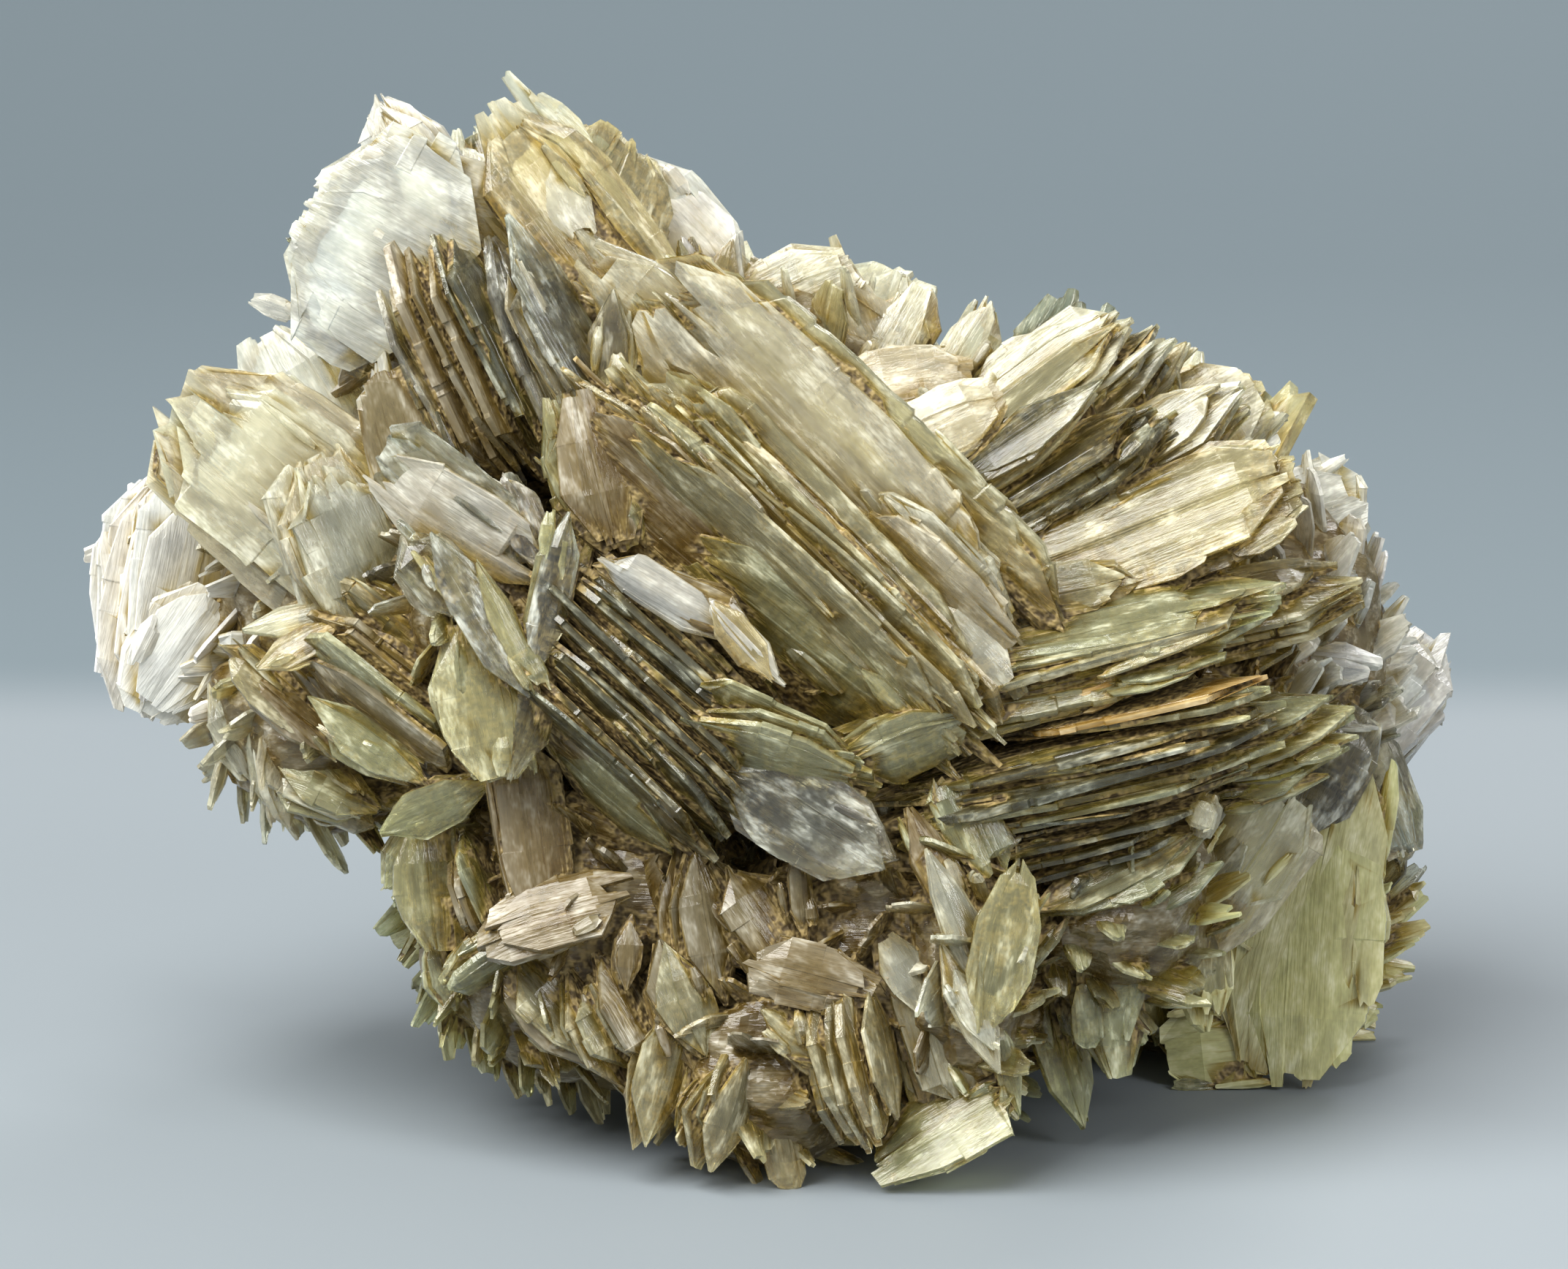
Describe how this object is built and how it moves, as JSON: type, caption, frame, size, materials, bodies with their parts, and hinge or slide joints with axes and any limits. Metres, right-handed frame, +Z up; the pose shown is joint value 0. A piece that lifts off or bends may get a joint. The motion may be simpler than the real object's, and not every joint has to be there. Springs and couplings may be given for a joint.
{
  "type": "gypsum specimen",
  "caption": "Free-standing cluster of intergrown lens-shaped selenite blades, in crossing sheaves round a massive middle.",
  "frame": {"origin": "on the resting plane, under the middle of the specimen's bounding box", "axes": "+Z up, +X to the viewer's right, -Y towards the viewer of the show side"},
  "size_m": [0.1404, 0.1016, 0.102],
  "materials": {
    "gypsum": "translucent, silky to glassy, with clay in the gaps"
  },
  "bodies": {
    "root": {"crystal_cluster": "gypsum"}
  },
  "joints": []
}
